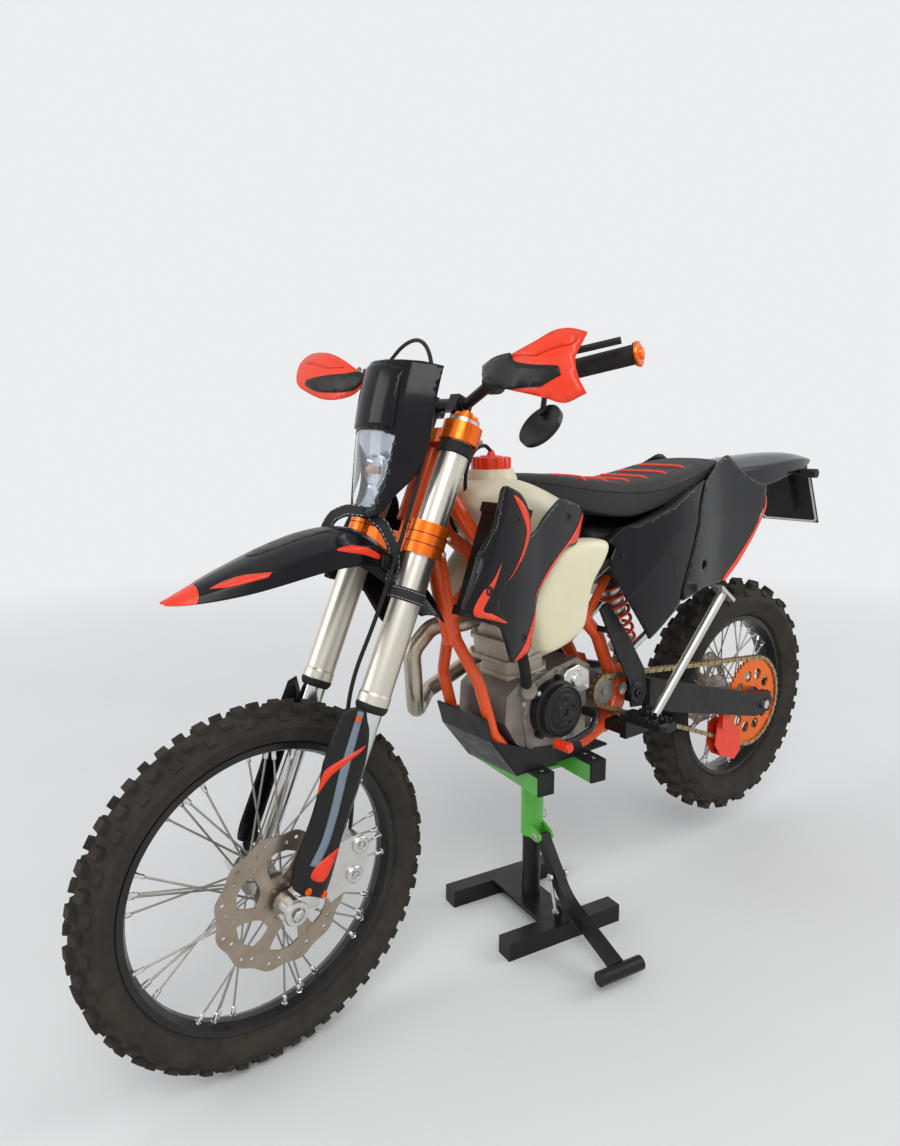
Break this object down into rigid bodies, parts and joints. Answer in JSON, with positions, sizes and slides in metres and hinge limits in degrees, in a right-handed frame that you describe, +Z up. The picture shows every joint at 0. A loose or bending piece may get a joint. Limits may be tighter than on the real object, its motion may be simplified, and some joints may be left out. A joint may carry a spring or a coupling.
{
  "type": "motorcycle",
  "caption": "Enduro motorcycle with knobbly tyres and handguards, held up under its skid plate by a lift stand; wheels roll, bars steer, side stand swings down.",
  "frame": {"origin": "on the ground, in the motorcycle's middle plane, midway between the front and rear tyres' ends", "axes": "+X forward, +Y to the rider's left, +Z up"},
  "size_m": [2.1723, 0.8332, 1.3729],
  "materials": {
    "tyre": "matt, dusty",
    "rim_black": "satin black",
    "hub_alloy": "cast, dusty",
    "disc_steel": "brushed",
    "sprocket_orange": "satin orange",
    "chain_gold": "satin",
    "clamp_orange": "anodised orange",
    "fork_alloy": "satin",
    "slider_steel": "polished",
    "axle_steel": "satin",
    "guard_orange": "glossy orange",
    "body_black": "glossy black",
    "lamp_glass": "clear",
    "bar_black": "satin black",
    "rubber_black": "matt",
    "control_black": "satin black",
    "caliper_alloy": "cast",
    "frame_orange": "glossy orange",
    "guard_black": "textured black",
    "subframe_alloy": "satin",
    "swingarm_alloy": "cast",
    "shock_alloy": "satin",
    "spring_orange": "glossy",
    "engine_alloy": "cast",
    "cover_black": "satin black",
    "exhaust_steel": "satin",
    "radiator_black": "matt black",
    "tank_cream": "translucent cream",
    "cap_orange": "glossy orange",
    "seat_grey": "ribbed cover",
    "holder_black": "matt black",
    "stand_green": "glossy green",
    "stand_black": "satin black"
  },
  "bodies": {
    "front_wheel": {"front_tyre": "tyre", "front_rim": "rim_black", "front_hub": "hub_alloy", "front_brake_disc": "disc_steel"},
    "rear_wheel": {"rear_tyre": "tyre", "rear_rim": "rim_black", "rear_hub": "hub_alloy", "rear_brake_disc": "disc_steel", "rear_sprocket": "sprocket_orange"},
    "front_end": {"lower_clamp": "clamp_orange", "upper_clamp": "clamp_orange", "fork_tubes": "fork_alloy", "fork_sliders": "slider_steel", "front_axle": "axle_steel", "fork_guards": "guard_orange", "front_fender": "body_black", "headlight_mask": "body_black", "headlight": "lamp_glass", "handlebar": "bar_black", "grips": "rubber_black", "hand_controls": "control_black", "handguards": "guard_orange", "front_caliper": "caliper_alloy", "brake_hose": "rubber_black"},
    "side_stand": {"side_stand": "subframe_alloy"},
    "chassis": {"chain": "chain_gold", "rear_axles": "axle_steel", "chain_guide": "guard_orange", "radiator_shrouds": "body_black", "side_panels": "body_black", "rear_fender": "body_black", "stand_pads": "rubber_black", "foot_controls": "control_black", "rear_caliper": "caliper_alloy", "frame": "frame_orange", "frame_guards": "guard_black", "skid_plate": "guard_black", "subframe": "subframe_alloy", "swingarm": "swingarm_alloy", "shock_body": "shock_alloy", "shock_spring": "spring_orange", "engine_case": "engine_alloy", "cylinder": "engine_alloy", "engine_covers": "cover_black", "exhaust": "exhaust_steel", "radiators": "radiator_black", "fuel_tank": "tank_cream", "fuel_cap": "cap_orange", "seat": "seat_grey", "plate_holder": "holder_black", "stand_top": "stand_green", "stand_base": "stand_black", "stand_lever": "stand_black"}
  },
  "joints": [
    {"name": "steering", "type": "hinge", "parent": "chassis", "child": "front_end", "pos_m": [0.6869, 0, 0.3287], "axis": [-0.3939, 0, 0.9191], "range_deg": [-42, 42]},
    {"name": "front_wheel_spin", "type": "hinge", "parent": "front_end", "child": "front_wheel", "pos_m": [0.7365, 0, 0.35], "axis": [0, 1, 0], "continuous": true},
    {"name": "rear_wheel_spin", "type": "hinge", "parent": "chassis", "child": "rear_wheel", "pos_m": [-0.7435, 0, 0.42], "axis": [0, 1, 0], "continuous": true},
    {"name": "side_stand_swing", "type": "hinge", "parent": "chassis", "child": "side_stand", "pos_m": [-0.2035, 0.15, 0.5], "axis": [0, -0.9893, -0.146], "range_deg": [0, 150], "stiffness_Nm_per_rad": 3, "springref_deg": -34.38}
  ]
}
